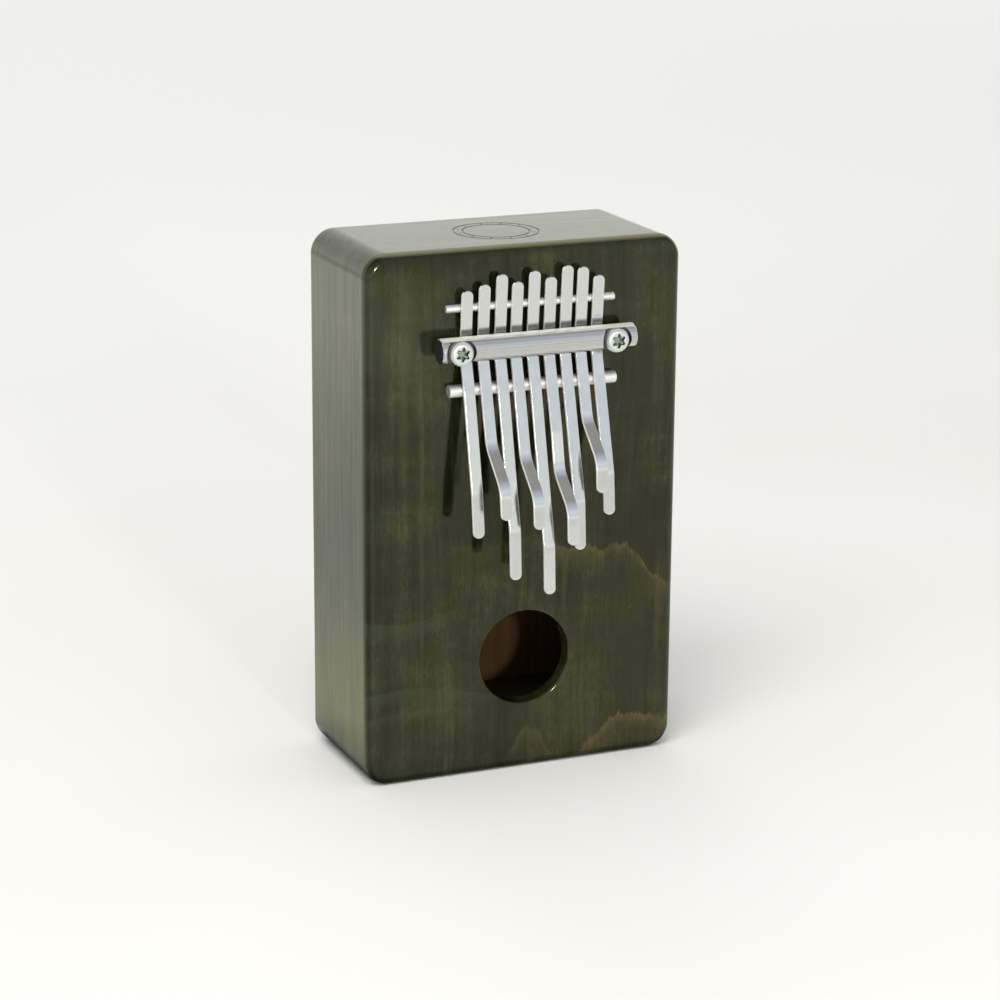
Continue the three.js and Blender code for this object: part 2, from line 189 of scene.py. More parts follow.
# ------------------------------------------------------------------ node tools
class Nodes:
    """Thin helper that writes node trees as expressions."""

    def __init__(self, tree):
        self.tree = tree

    def new(self, kind, **props):
        node = self.tree.nodes.new(kind)
        for key, value in props.items():
            setattr(node, key, value)
        return node

    def put(self, socket, value):
        """Link a socket, or set a plain value. Colours may leave out their alpha."""
        if isinstance(value, bpy.types.NodeSocket):
            self.tree.links.new(value, socket)
            return
        if socket.type == "RGBA" and len(value) == 3:
            value = (*value, 1.0)
        socket.default_value = value

    def math(self, op, *values, clamp=False):
        node = self.new("ShaderNodeMath", operation=op, use_clamp=clamp)
        for socket, value in zip(node.inputs, values):
            self.put(socket, value)
        return node.outputs[0]

    def add(self, *values):
        return reduce(lambda a, b: self.math("ADD", a, b), values)

    def sub(self, a, b):
        return self.math("SUBTRACT", a, b)

    def mul(self, *values):
        return reduce(lambda a, b: self.math("MULTIPLY", a, b), values)

    def invert(self, value):
        return self.sub(1.0, value)

    def swing(self, value, gain, centre=0.5):
        """A 0 to 1 value moved to swing about zero, times gain."""
        return self.mul(self.sub(value, centre), gain)

    def length(self, a, b):
        return self.math("SQRT", self.add(self.mul(a, a), self.mul(b, b)))

    def rise(self, value, start, end, low=0.0, high=1.0, smooth=True):
        """Goes from low to high as value goes from start to end."""
        kind = "SMOOTHSTEP" if smooth else "LINEAR"
        node = self.new("ShaderNodeMapRange", interpolation_type=kind)
        for socket, item in zip(node.inputs, (value, start, end, low, high)):
            self.put(socket, item)
        return node.outputs[0]

    def fall(self, value, start, end):
        """Goes from 1 to 0 as value goes from start to end."""
        return self.invert(self.rise(value, start, end))

    def vmath(self, op, a, b):
        node = self.new("ShaderNodeVectorMath", operation=op)
        self.put(node.inputs[0], a)
        self.put(node.inputs["Scale" if op == "SCALE" else 1], b)
        return node.outputs[0]

    def scale(self, vector, factor):
        return self.vmath("SCALE", vector, factor)

    def stretch_along(self, vector, axis, across, length):
        """Scale a position by one factor along the axis and another across it."""
        return self.vmath("MULTIPLY", vector, tuple(length if a == axis else across for a in "XYZ"))

    def noise(self, vector, detail=2.0, rough=0.5, distortion=0.0, w=None):
        node = self.new("ShaderNodeTexNoise")
        if w is not None:
            node.noise_dimensions = "4D"
            self.put(node.inputs["W"], w)
        self.put(node.inputs["Vector"], vector)
        self.put(node.inputs["Scale"], 1.0)
        self.put(node.inputs["Detail"], detail)
        self.put(node.inputs["Roughness"], rough)
        self.put(node.inputs["Distortion"], distortion)
        return node.outputs["Fac"]

    def stretched_noise(self, vector, per_mm, **settings):
        """Noise at the given scale, per millimetre, on each axis."""
        return self.noise(self.vmath("MULTIPLY", vector, per_mm), **settings)

    def ramp(self, factor, stops, interpolation="LINEAR"):
        """stops: [(position, colour or grey)]."""
        node = self.new("ShaderNodeValToRGB")
        ramp = node.color_ramp
        ramp.interpolation = interpolation
        while len(ramp.elements) > 1:
            ramp.elements.remove(ramp.elements[-1])
        for i, (position, colour) in enumerate(stops):
            element = ramp.elements[0] if i == 0 else ramp.elements.new(position)
            element.position = position
            if isinstance(colour, (int, float)):
                colour = (colour, colour, colour)
            element.color = (*colour, 1.0)
        self.put(node.inputs[0], factor)
        return node.outputs[0]

    def bright_ramp(self, factor, stops):
        """Ramp whose colours pass 1, stored halved and doubled afterwards."""
        halved = [(position, tuple(c / 2 for c in colour)) for position, colour in stops]
        return self.scale(self.ramp(factor, halved), 2.0)

    def mix(self, factor, a, b):
        node = self.new("ShaderNodeMix", data_type="RGBA", blend_type="MIX")
        self.put(node.inputs[0], factor)
        self.put(node.inputs[6], a)
        self.put(node.inputs[7], b)
        return node.outputs[2]

    def tint(self, colour, mask, amount, to):
        return self.mix(self.mul(mask, amount), colour, to)

    def mix_shader(self, factor, a, b):
        node = self.new("ShaderNodeMixShader")
        for socket, value in zip(node.inputs, (factor, a, b)):
            self.put(socket, value)
        return node.outputs[0]

    def split(self, vector):
        node = self.new("ShaderNodeSeparateXYZ")
        self.put(node.inputs[0], vector)
        return node.outputs[0], node.outputs[1], node.outputs[2]

    def join(self, x, y, z):
        node = self.new("ShaderNodeCombineXYZ")
        for socket, value in zip(node.inputs, (x, y, z)):
            self.put(socket, value)
        return node.outputs[0]

    def bump(self, height, strength, distance_mm):
        node = self.new("ShaderNodeBump")
        self.put(node.inputs["Strength"], strength)
        self.put(node.inputs["Distance"], distance_mm * MM)
        self.put(node.inputs["Height"], height)
        return node.outputs[0]


def new_material(name):
    """Material, its node helper, its Principled shader and the position in millimetres."""
    material = bpy.data.materials.new(name)
    material.use_nodes = True
    material.node_tree.nodes.clear()
    nodes = Nodes(material.node_tree)
    nodes.surface = nodes.new("ShaderNodeOutputMaterial").inputs[0]
    bsdf = nodes.new("ShaderNodeBsdfPrincipled")
    nodes.put(nodes.surface, bsdf.outputs[0])
    position = nodes.new("ShaderNodeTexCoord").outputs["Object"]
    return material, nodes, bsdf, nodes.scale(position, 1000.0)


# ----------------------------------------------------------------- wood colours
STAIN_TONES = [
    (0.02, (0.0014, 0.0020, 0.0009)), (0.34, (0.0056, 0.0070, 0.0028)),
    (0.60, (0.0145, 0.0168, 0.0064)), (0.98, (0.0430, 0.0450, 0.0180)),
]
RAW_TONES = [(0.25, (0.060, 0.030, 0.011)), (0.55, (0.105, 0.055, 0.020)), (0.8, (0.15, 0.08, 0.032))]
BLOCK_TONES = [(0.3, (0.20, 0.11, 0.05)), (0.55, (0.31, 0.18, 0.09)), (0.75, (0.40, 0.25, 0.13))]
WARM = (0.026, 0.016, 0.006)
TAWNY = (0.032, 0.024, 0.010)
PORE = (0.0022, 0.0022, 0.0015)
SMOKE = (0.0026, 0.0032, 0.0026)
CREST_TAN = (0.088, 0.070, 0.021)
WAVE_PALE = (0.034, 0.038, 0.024)
# painted light on the front: a paler upper left corner and a painted sheen at the upper right
CORNER_PAINTED_LIGHT = (0.044, 0.049, 0.028)
TOP_PAINTED_SHEEN = (0.034, 0.036, 0.021)
# painted shade for the front and back roundovers under the top
ROUNDOVER_PAINTED_SHADE = (0.0024, 0.0026, 0.0022)
RUBBED_TAN = (0.112, 0.110, 0.056)
BOTTOM_SHADE_TONE = (0.075, 0.06, 0.03)

# Flame crests on the front: (x, z) points, then in millimetres how softly the crest
# starts, the depth of tan under it and of the haze; the strengths of tan and of the
# smoke above it, and the height of the smoke.
CRESTS = [
    ([(9.0, 73.4), (16.6, 71.3), (22.7, 71.8), (27.4, 69.2), (30.1, 71.2), (34.2, 70.9),
      (39.7, 66.8), (43.2, 61.3), (50.5, 56.0)],
     dict(soft=0.5, deep=4.2, haze=13.0, amount=0.90, smoke=0.55, smoke_height=26.0)),
    ([(-30.0, 79.0), (-22.0, 76.0), (-10.0, 74.5), (2.0, 76.0), (12.0, 73.0)],
     dict(soft=2.5, deep=6.0, haze=16.0, amount=0.22, smoke=0.35, smoke_height=22.0)),
    ([(17.0, 1.0), (23.1, 5.1), (27.2, 8.5), (29.8, 11.4), (33.9, 13.7), (42.2, 12.6), (56.0, 8.8)],
     dict(soft=0.4, deep=5.2, haze=12.0, amount=1.0, smoke=0.22, smoke_height=10.0)),
    ([(-7.0, 3.0), (-3.3, 7.5), (-0.7, 11.0), (1.3, 13.4), (5.4, 12.2), (7.4, 7.3), (10.0, 3.0)],
     dict(soft=0.8, deep=5.0, haze=9.0, amount=0.45, smoke=0.30, smoke_height=9.0)),
]

# Upright streaks on the front: centre x, half width, lower z, upper z, colour, strength.
STREAKS = [
    (-34.6, 1.1, 12.0, 142.0, (0.050, 0.040, 0.014), 0.45),
    (-40.5, 2.2, 96.0, 158.0, (0.036, 0.034, 0.014), 0.40),
    (14.4, 1.6, 28.0, 66.0, (0.050, 0.046, 0.017), 0.42),
    (47.2, 1.2, 36.0, 64.0, (0.052, 0.046, 0.017), 0.45),
    (8.0, 1.8, 14.0, 26.0, (0.042, 0.038, 0.015), 0.35),
    (-47.5, 4.5, 112.0, 140.0, (0.0026, 0.0034, 0.0026), 0.60),
    (36.0, 9.0, 92.0, 130.0, (0.0030, 0.0038, 0.0028), 0.35),
]

# Pale bands across the grain of the front: (x, z) points of the top edge, depth, strength.
WAVES = [
    ([(-53.0, 54.5), (-43.4, 52.0), (-34.4, 52.3), (-22.0, 56.0)], 7.0, 0.34),
    ([(-53.0, 29.5), (-45.0, 30.8), (-35.7, 31.6), (-18.7, 27.4), (-6.0, 24.0)], 6.0, 0.42),
    ([(-53.0, 21.5), (-40.0, 24.5), (-25.3, 23.5), (-12.0, 20.5)], 3.5, 0.24),
]


# ------------------------------------------------------------- wood materials
def front_figure_and_painted_light(nodes, mm, colour, wander, fine, blotch, grain):
    """Plain-sawn figure of the soundboard, laid over the plain stain colour, with painted light toward its
    upper corners.
    """
    x, _, z = nodes.split(mm)
    rise, fall, mul = nodes.rise, nodes.fall, nodes.mul
    jag = nodes.stretched_noise(mm, (0.75, 0.0, 0.06), detail=4, rough=0.65, w=1.3)
    tooth = nodes.stretched_noise(mm, (3.2, 0.0, 0.10), detail=2, rough=0.6, w=5.1)

    def height_above(points, jag_mm, interpolation="LINEAR"):
        """Height of the shaded point above a ragged line through (x, z) points."""
        xa, xb = points[0][0], points[-1][0]
        za, zb = min(p[1] for p in points), max(p[1] for p in points)
        along = nodes.math("DIVIDE", nodes.sub(x, xa), xb - xa, clamp=True)
        stops = [((px - xa) / (xb - xa), (pz - za) / (zb - za)) for px, pz in points]
        level = nodes.ramp(along, stops, interpolation)
        line = nodes.sub(z, nodes.math("MULTIPLY_ADD", level, zb - za, za))
        return nodes.add(line, nodes.swing(jag, jag_mm))

    def crest(colour, points, soft, deep, haze, amount, smoke, smoke_height):
        """Tan just under a ragged line, a haze further down, dark above."""
        xa, xb = points[0][0], points[-1][0]
        line = nodes.add(height_above(points, jag_mm=6.5), nodes.swing(tooth, gain=3.2))
        ends = mul(rise(x, xa - 1.5, xa + 5.0), fall(x, xb - 4.0, xb + 3.0))
        below = fall(line, -0.3, soft)
        near = mul(below, nodes.math("POWER", rise(line, -deep, 0.0, smooth=False), 1.6))
        wide = mul(below, rise(line, -haze, 0.0))
        tan = mul(nodes.add(mul(near, 0.85), mul(wide, 0.22)), ends)
        patches = nodes.stretched_noise(mm, (0.22, 0.0, 0.10), detail=3, w=9.0)
        tan = mul(tan, rise(patches, 0.30, 0.62, low=0.35), rise(fine, 0.25, 0.75, low=0.55, high=1.1))
        dark = mul(rise(line, -0.3, 1.2), fall(line, 1.5, smoke_height))
        colour = nodes.tint(colour, mul(dark, ends), amount=smoke, to=SMOKE)
        return nodes.mix(nodes.math("MULTIPLY", tan, amount, clamp=True), colour, CREST_TAN)

    def streak(colour, centre_x, half_width, z_low, z_high, to, amount):
        offset = nodes.add(nodes.sub(x, centre_x), nodes.swing(wander, gain=3.0))
        mask = fall(nodes.math("ABSOLUTE", offset), 0.0, half_width)
        mask = mul(mask, mul(rise(z, z_low - 6, z_low + 6), fall(z, z_high - 6, z_high + 6)))
        mask = mul(mask, rise(grain(across=0.5, length=0.03), 0.25, 0.6, low=0.3))
        return nodes.tint(colour, mask, amount, to)

    def wave(colour, points, depth, amount):
        end_x = points[-1][0]
        line = height_above(points, jag_mm=1.5, interpolation="B_SPLINE")
        band = mul(fall(line, 0.0, 1.0), rise(line, -depth, -0.4))
        band = mul(band, fall(x, end_x - 12.0, end_x + 2.0))
        return nodes.tint(colour, band, amount, to=WAVE_PALE)

    for points, settings in CRESTS:
        colour = crest(colour, points, **settings)
    for row in STREAKS:
        colour = streak(colour, *row)
    for row in WAVES:
        colour = wave(colour, *row)

    # paler toward the upper left corner and hazy at the upper right, both painted light on the glossy
    # front; warm at the lower right
    pale = mul(fall(x, -44.0, -8.0), mul(rise(z, 118.0, 146.0), fall(z, 160.0, 167.0)))
    pale = mul(pale, rise(blotch, 0.3, 0.7, low=0.55))
    colour = nodes.scale(colour, nodes.math("MULTIPLY_ADD", pale, 1.1, 1.0))
    colour = nodes.tint(colour, pale, amount=0.38, to=CORNER_PAINTED_LIGHT)
    haze = mul(rise(z, 130.0, 158.0), rise(x, -10.0, 20.0))
    colour = nodes.tint(colour, haze, amount=0.20, to=TOP_PAINTED_SHEEN)
    red = mul(rise(x, 5.0, 50.0), fall(z, 30.0, 115.0))
    return nodes.tint(colour, red, amount=0.12, to=WARM)


def worn_and_shaded_top_edges(nodes, mm, y, z, colour):
    """Stain rubbed through to tan along the front and back edges of the top, and painted shade darkening
    the roundovers there.
    """
    rise, mul = nodes.rise, nodes.mul
    depth = nodes.math("ABSOLUTE", y)
    rub = mul(rise(z, Z1 - 1.35, Z1 - 0.55), rise(depth, 21.9, 22.9))
    wear = nodes.stretched_noise(mm, (0.10, 0.10, 0.8), detail=4, rough=0.6)
    rub = mul(rub, rise(wear, 0.18, 0.50, low=0.45))
    # painted shade: the front and back roundovers just under the top are darkened
    dark = mul(rise(z, Z1 - 3.4, Z1 - 2.2), rise(depth, 22.0, 23.6))
    colour = nodes.tint(colour, dark, amount=0.55, to=ROUNDOVER_PAINTED_SHADE)
    return nodes.tint(colour, rub, amount=0.88, to=RUBBED_TAN)


def inside_mask(nodes, x, y, z):
    """One on the faces inside the box."""
    slack = 0.02

    def between(value, lo, hi):
        return nodes.mul(nodes.math("GREATER_THAN", value, lo - slack),
                         nodes.math("LESS_THAN", value, hi + slack))

    within_x = nodes.math("LESS_THAN", nodes.math("ABSOLUTE", x), INNER_X + slack)
    return nodes.mul(within_x, between(z, INNER_Z0, INNER_Z1),
                     between(y, FRONT_JOINT_Y, BACK_JOINT_Y))


def wood(name, along, offset):
    """Dark stained, lacquered hardwood with its grain along one axis, raw inside the box.
    offset moves the pattern so that each board differs."""
    material, nodes, bsdf, mm = new_material(name)
    rise, mul, swing = nodes.rise, nodes.mul, nodes.swing
    x, y, z = nodes.split(mm)
    moved = nodes.vmath("ADD", mm, offset)

    def straight(across, length, **settings):
        return nodes.noise(nodes.stretch_along(moved, along, across, length), **settings)

    # slow wander of the grain lines, 10 mm of swing
    wander = straight(across=0.022, length=0.010, detail=2)
    push = swing(wander, gain=10.0)
    pushed = nodes.vmath("ADD", moved, nodes.join(push, push, push))

    def grain(across, length, **settings):
        return nodes.noise(nodes.stretch_along(pushed, along, across, length), **settings)

    broad = grain(across=0.10, length=0.006, detail=3, rough=0.55)
    streak = grain(across=0.55, length=0.014, detail=3, rough=0.6)
    fine = grain(across=2.3, length=0.10, detail=3, rough=0.65)
    hair = grain(across=6.0, length=0.30, detail=2, rough=0.6)
    fleck = straight(across=1.3, length=0.45, detail=3, rough=0.7)
    pores = rise(grain(across=7.0, length=0.32, detail=1, rough=0.5), 0.60, 0.70)
    blotch = straight(across=0.045, length=0.030, detail=3, rough=0.6)
    ripple = straight(across=0.035, length=0.11, detail=3, rough=0.55, distortion=0.6)

    # sum of the layers, each with its weight
    tone = nodes.math("MULTIPLY_ADD", nodes.sub(broad, 0.5), 1.15, 0.5)
    for layer, weight in ((streak, 0.54), (fine, 0.32), (hair, 0.24), (ripple, 0.62), (blotch, 1.10)):
        tone = nodes.add(tone, swing(layer, weight))
    tone = nodes.math("ADD", tone, swing(fleck, gain=0.70), clamp=True)
    colour = nodes.ramp(tone, STAIN_TONES)

    # stain that took warmer in places, and dark pores
    warm = rise(straight(across=0.020, length=0.012, detail=2), 0.52, 0.72)
    colour = nodes.tint(colour, warm, amount=0.22, to=WARM)
    tawny = straight(across=0.055, length=0.035, detail=3, rough=0.6, distortion=0.5)
    colour = nodes.tint(colour, rise(tawny, 0.52, 0.70), amount=0.30, to=TAWNY)
    colour = nodes.tint(colour, pores, amount=0.55, to=PORE)
    if name == "stained_front":
        colour = front_figure_and_painted_light(nodes, mm, colour, wander, fine, blotch, grain)
    colour = worn_and_shaded_top_edges(nodes, mm, y, z, colour)

    raw = nodes.ramp(nodes.add(mul(fine, 0.5), mul(streak, 0.5)), RAW_TONES)
    # painted shade: inside the bottom end the raw wood is darkened toward black and a dull yellow-brown
    if name == "stained_bottom":
        shaded_raw = nodes.mix(0.5, raw, (0.0, 0.0, 0.0))
        raw = nodes.mix(0.6, shaded_raw, BOTTOM_SHADE_TONE)
    inside = inside_mask(nodes, x, y, z)
    nodes.put(bsdf.inputs["Base Color"], nodes.mix(inside, colour, raw))

    smudge = nodes.stretched_noise(mm, (0.11, 0.11, 0.07), detail=4, rough=0.65)
    rough = nodes.add(rise(smudge, 0.35, 0.75, low=0.06, high=0.12), mul(rise(hair, 0.3, 0.7), 0.03))
    nodes.put(bsdf.inputs["Roughness"], nodes.add(rough, mul(inside, 0.55)))
    nodes.put(bsdf.inputs["IOR"], 1.53)
    # the streaks vary the shine less on the two large faces
    low, high = (0.44, 0.54) if name in ("stained_front", "stained_back") else (0.33, 0.57)
    shine = nodes.add(rise(streak, 0.25, 0.75, low, high), swing(fine, gain=0.10))
    shine = mul(nodes.invert(mul(inside, 0.7)), shine)
    nodes.put(bsdf.inputs["Specular IOR Level"], shine)
    nodes.put(bsdf.inputs["Specular Tint"], (1.0, 1.0, 0.68))

    # lacquer has sunk slightly into the grain and lies in a gentle swell
    swell = nodes.stretched_noise(mm, (0.09, 0.09, 0.05), detail=2)
    sunk = nodes.add(swell, nodes.add(mul(streak, 0.06), mul(fine, 0.035)))
    nodes.put(bsdf.inputs["Normal"], nodes.bump(sunk, strength=0.30, distance_mm=0.12))
    return material


def raw_block():
    """Raw wood of the bridge block, its grain along X."""
    material, nodes, bsdf, mm = new_material("raw_block")
    broad = nodes.stretched_noise(mm, (0.05, 0.9, 0.9), detail=3, rough=0.6)
    fine = nodes.stretched_noise(mm, (0.2, 4.0, 4.0), detail=2)
    tone = nodes.add(nodes.mul(broad, 0.65), nodes.mul(fine, 0.35))
    nodes.put(bsdf.inputs["Base Color"], nodes.ramp(tone, BLOCK_TONES))
    nodes.put(bsdf.inputs["Roughness"], nodes.rise(fine, 0.3, 0.7, low=0.55, high=0.75))
    nodes.put(bsdf.inputs["Normal"], nodes.bump(tone, strength=0.4, distance_mm=0.15))
    return material


# ------------------------------------------------------------ metal materials
def surface_normal(nodes):
    return nodes.split(nodes.new("ShaderNodeNewGeometry").outputs["Normal"])


def matt_edges_with_painted_sheen(nodes, base):
    """Matt long edges facing left and right, paler in colour as a painted sheen standing in for their
    bright reflection. Returns colour, matt mask, metallic.
    """
    sideways = nodes.math("ABSOLUTE", surface_normal(nodes)[0])
    matt = nodes.rise(sideways, 0.45, 0.80)
    base = nodes.mix(matt, base, (0.95, 0.94, 0.89))
    return base, matt, nodes.invert(nodes.mul(matt, 0.80))


def bar_painted_light_bands(nodes, base):
    """Painted light and shade in bands along the bar by the lean of the surface: a painted sheen near the
    top, a painted highlight on the upper front, painted shade underneath and at the back; 0 degrees faces
    the front, 90 up. Returns colour, matt mask, metallic."""
    _, normal_y, normal_z = surface_normal(nodes)
    lean = nodes.math("ARCTAN2", normal_z, nodes.mul(normal_y, -1.0))

    def rise(start, end):
        return nodes.rise(lean, math.radians(start), math.radians(end))

    def fall(start, end):
        return nodes.invert(rise(start, end))

    painted_sheen = nodes.mul(rise(58, 69), fall(86, 100))
    base = nodes.mix(painted_sheen, base, (0.88, 0.87, 0.82))
    painted_highlight = nodes.mul(rise(30, 39), fall(46, 54))
    base = nodes.mix(painted_highlight, base, (0.93, 0.93, 0.92))
    # painted shade: darker underneath, and dark at the back
    base = nodes.mix(fall(-62, -36), base, (0.33, 0.33, 0.31))
    back = nodes.math("ADD", rise(94, 108), fall(-100, -80), clamp=True)
    base = nodes.mix(back, base, (0.42, 0.43, 0.38))
    return base, painted_sheen, nodes.invert(nodes.mul(painted_sheen, 0.55))


def metal(name, colour, rough, along, brush, scratch, tint=None, metallic=1.0, finish_with_painted_light=None):
    """Metal with drawn lines along one axis, faint scratches and soft smudges.
    finish_with_painted_light: a function that adds areas of another finish, with painted light and shade
    in their colour."""
    material, nodes, bsdf, mm = new_material(name)
    add, mul, swing = nodes.add, nodes.mul, nodes.swing
    lines = nodes.noise(nodes.stretch_along(mm, along, across=5.0, length=0.05), detail=3, rough=0.6)
    hair = nodes.noise(nodes.stretch_along(mm, along, across=16.0, length=0.25), detail=1)
    smudge = nodes.stretched_noise(mm, (0.35, 0.35, 0.22), detail=4, rough=0.65)
    cross = nodes.stretched_noise(mm, (3.0, 3.0, 9.0), detail=2, distortion=1.5)
    marks = nodes.rise(cross, 0.66, 0.74)

    tone = add(swing(lines, gain=0.10 * brush), swing(smudge, gain=0.10))
    base = nodes.scale(nodes.join(*colour), add(1.0, tone))
    if tint is not None:
        patches = nodes.stretched_noise(mm, (0.18, 0.18, 0.10), detail=2)
        base = nodes.mix(nodes.rise(patches, 0.4, 0.75), base, tint)
    roughness = add(rough, swing(smudge, gain=0.16, centre=0.45))
    roughness = add(roughness, swing(hair, gain=0.10 * brush), mul(marks, 0.10 * scratch))
    if finish_with_painted_light is not None:
        base, matt, metallic = finish_with_painted_light(nodes, base)
        roughness = add(roughness, mul(matt, 0.25))
    nodes.put(bsdf.inputs["Base Color"], base)
    nodes.put(bsdf.inputs["Metallic"], metallic)
    nodes.put(bsdf.inputs["Roughness"], roughness)
    height = nodes.sub(add(mul(lines, 0.6), mul(hair, 0.4)), mul(marks, 0.5 * scratch))
    nodes.put(bsdf.inputs["Normal"], nodes.bump(height, strength=0.10 * brush, distance_mm=0.006))
    return material


FRONT_WOOD = wood("stained_front", along="Z", offset=(0.0, 0.0, 0.0))
BACK_WOOD = wood("stained_back", along="Z", offset=(210.0, 90.0, 35.0))
LEFT_WOOD = wood("stained_left", along="Z", offset=(-130.0, 40.0, 300.0))
RIGHT_WOOD = wood("stained_right", along="Z", offset=(330.0, -70.0, 120.0))
TOP_WOOD = wood("stained_top", along="X", offset=(60.0, 150.0, -80.0))
BOTTOM_WOOD = wood("stained_bottom", along="X", offset=(-90.0, -210.0, 60.0))
BLOCK_WOOD = raw_block()
TINE_STEEL = metal("tine_steel", (0.86, 0.865, 0.87), rough=0.15, along="Z", brush=0.40, scratch=0.3,
                   finish_with_painted_light=matt_edges_with_painted_sheen)
ROD_STEEL = metal("rod_steel", (0.95, 0.955, 0.93), rough=0.42, along="X", brush=0.5, scratch=0.5,
                  metallic=0.85)
BAR_STEEL = metal("bar_steel", (0.69, 0.69, 0.69), rough=0.12, along="X", brush=0.35, scratch=0.7,
                  finish_with_painted_light=bar_painted_light_bands)
SCREW_ZINC = metal("screw_zinc", (0.80, 0.815, 0.80), rough=0.34, along="Y", brush=0.3, scratch=0.8,
                   tint=(0.74, 0.81, 0.795), metallic=0.85)
# painted reflection: the bar's end faces are a dark purplish metal that stands in for the dark board they
# mirror
END_FACE_PAINTED_REFLECTION = metal("end_face_painted_reflection", (0.17, 0.155, 0.21), rough=0.45, along="Z", brush=1.0, scratch=1.0)
# painted shade: the seats under the screw heads and their walls are dark where shade falls in the gap
# round each head
SEAT_PAINTED_SHADE = metal("seat_painted_shade", (0.105, 0.10, 0.10), rough=0.45, along="Z", brush=1.0, scratch=1.0)
# painted shade in the screw sockets: a darker floor and near-black walls
SOCKET_FLOOR_PAINTED_SHADE = metal("socket_floor_painted_shade", (0.36, 0.42, 0.35), rough=0.45, along="Y", brush=1.0, scratch=1.0)
SOCKET_WALL_PAINTED_SHADE = metal("socket_wall_painted_shade", (0.055, 0.068, 0.055), rough=0.5, along="Y", brush=1.0, scratch=1.0)


# ----------------------------------------------- places of the rods and screws
def rod_place(name, trim_left=0.0, trim_right=0.0):
    """Left end x, right end x, radius, centre y, centre z."""
    lo, hi = box_mm(name)
    return (lo[0] + trim_left, hi[0] - trim_right, (hi[2] - lo[2]) / 2,
            (lo[1] + hi[1]) / 2, (lo[2] + hi[2]) / 2)


def screw_place(name):
    """Centre x, y of the head's top, y of the tip, centre z."""
    lo, hi = box_mm(name)
    return (lo[0] + hi[0]) / 2, lo[1], hi[1], (lo[2] + hi[2]) / 2


# the front rod's ends are dressed back a little
RODS = {"front_rod": rod_place("front_rod", trim_left=0.35, trim_right=0.75),
        "rear_rod": rod_place("rear_rod")}
BAR = rod_place("clamp_bar")
SCREWS = {name: screw_place(name) for name in ("screw_left", "screw_right")}
SCREW_HOLE_R = 2.2


# ------------------------------------------------------------------ wooden box
def outline(inset, y):
    """Rounded rectangle of the box seen from the front, drawn in by the inset."""
    left, right = X0 + CORNER_R, X1 - CORNER_R
    low, high = Z0 + CORNER_R, Z1 - CORNER_R
    points = []
    for cx, cz, start in ((right, low, -90), (right, high, 0), (left, high, 90), (left, low, 180)):
        points += [(x, y, z) for x, z in arc(cx, cz, CORNER_R - inset, start, steps=20)]
    return points


def shell():
    """The whole box as a solid with rounded edges."""
    steps = 10
    edge = []
    for i in range(steps + 1):
        a = math.pi / 2 * i / steps
        edge.append((EDGE_R * (1 - math.sin(a)), EDGE_R * (1 - math.cos(a))))
    rings = [outline(inset, Y0 + depth) for inset, depth in edge]
    rings += [outline(inset, Y1 - depth) for inset, depth in reversed(edge)]
    return skin(rings)


def slice_off(bm, point, normal):
    """Cut away everything on the normal's side of the plane and close the cut."""
    geom = bm.verts[:] + bm.edges[:] + bm.faces[:]
    result = bmesh.ops.bisect_plane(bm, geom=geom, dist=1e-6, plane_co=point, plane_no=normal,
                                    clear_outer=True)
    edges = [e for e in result["geom_cut"] if isinstance(e, bmesh.types.BMEdge) and e.is_boundary]
    bmesh.ops.contextual_create(bm, geom=edges)
    bmesh.ops.recalc_face_normals(bm, faces=bm.faces)


def board(name, planes, material, smooth=True):
    """Part of the shell left by slicing at each (point, normal). Boards that are cut
    afterwards are shaded after the cut."""
    bm = shell()
    for point, normal in planes:
        slice_off(bm, point, normal)
    ob = add_object(name + "_v", bm, material)
    if smooth:
        shade_smooth(ob)
    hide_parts(name)
    return ob


BETWEEN_BOARDS = [((0, FRONT_JOINT_Y, 0), (0, -1, 0)), ((0, BACK_JOINT_Y, 0), (0, 1, 0))]
BETWEEN_SIDES = [((INNER_X, 0, 0), (1, 0, 0)), ((-INNER_X, 0, 0), (-1, 0, 0))]
ENDS = BETWEEN_BOARDS + BETWEEN_SIDES

soundboard = board("soundboard", [((0, FRONT_JOINT_Y, 0), (0, 1, 0))], FRONT_WOOD, smooth=False)
back_board = board("back_board", [((0, BACK_JOINT_Y, 0), (0, -1, 0))], BACK_WOOD)
left_side = board("left_side", BETWEEN_BOARDS + [((-INNER_X, 0, 0), (1, 0, 0))], LEFT_WOOD)
right_side = board("right_side", BETWEEN_BOARDS + [((INNER_X, 0, 0), (-1, 0, 0))], RIGHT_WOOD)
top_end = board("top_end", ENDS + [((0, 0, INNER_Z1), (0, 0, -1))], TOP_WOOD, smooth=False)
bottom_end = board("bottom_end", ENDS + [((0, 0, INNER_Z0), (0, 0, 1))], BOTTOM_WOOD)


def sound_hole_cutter():
    """Round hole with a softened rim."""
    profile = [(3.0 + FRONT_JOINT_Y, HOLE_R), (Y0 + HOLE_LIP, HOLE_R)]
    for i in range(1, 9):
        a = math.radians(84 * i / 8)
        profile.append((Y0 + HOLE_LIP * (1 - math.sin(a)), HOLE_R + HOLE_LIP * (1 - math.cos(a))))
    outer = HOLE_R + HOLE_LIP + 0.05
    profile += [(Y0 - 0.35, outer), (Y0 - 3.0, outer)]
    return cutter(lathe(profile, 160, "Y", (HOLE_X, 0, HOLE_Z)))


def groove_cutter(x_left, x_right, radius, y, z):
    """Groove for a rod, with end play and clearance."""
    play, clearance = 0.12, 0.05
    profile = [(x_left - play, radius + clearance), (x_right + play, radius + clearance)]
    return cutter(lathe(profile, 64, "X", (0, y, z)))


